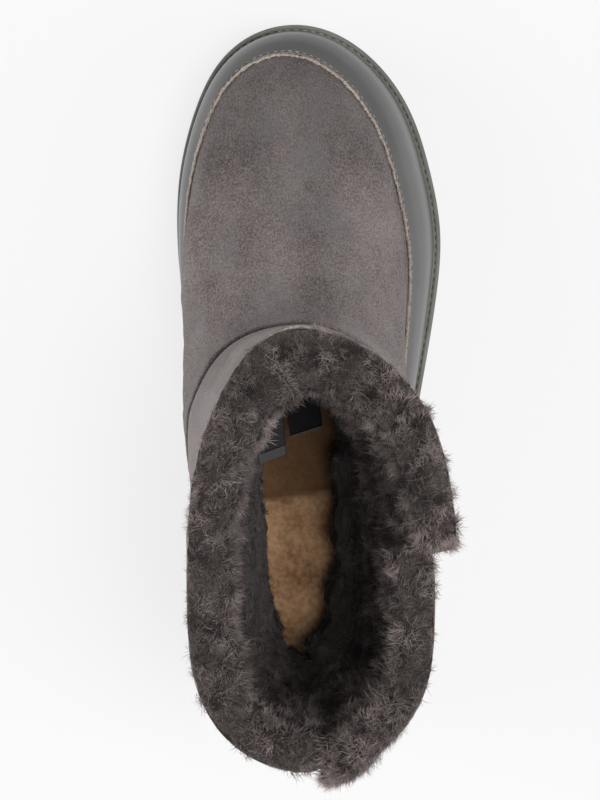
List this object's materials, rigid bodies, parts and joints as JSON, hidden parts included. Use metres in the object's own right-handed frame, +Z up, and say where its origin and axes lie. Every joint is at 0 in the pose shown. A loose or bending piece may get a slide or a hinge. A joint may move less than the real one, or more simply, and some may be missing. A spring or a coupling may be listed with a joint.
{
  "type": "sheepskin boot",
  "caption": "Right ankle boot of wool-lined suede with a rubberised rand round the foot, a stitched welt, a lugged sole and a shaft with two slits.",
  "frame": {"origin": "middle of the boot's bounding box, on the floor under the sole", "axes": "+Y towards the toe, +X towards the outer side of the foot, +Z up"},
  "size_m": [0.107, 0.283, 0.1579],
  "materials": {
    "tread_rubber": "matt moulded rubber",
    "welt_rubber": "matt rubber strip with a stitched groove",
    "insole_fleece": "short honey-coloured sheep's wool",
    "suede": "napped grey sheepskin suede",
    "rand_leather": "smooth rubberised leather, satin",
    "shaft_suede": "napped grey sheepskin suede",
    "wool": "deep dark brown sheep's wool",
    "cut_edge": "raw pale edge of cut sheepskin",
    "thread": "waxed brown thread",
    "label": "woven cloth, blank"
  },
  "bodies": {
    "root": {"outsole": "tread_rubber", "welt": "welt_rubber", "insole": "insole_fleece", "upper": "suede", "rand": "rand_leather", "shaft": "shaft_suede"}
  },
  "joints": []
}
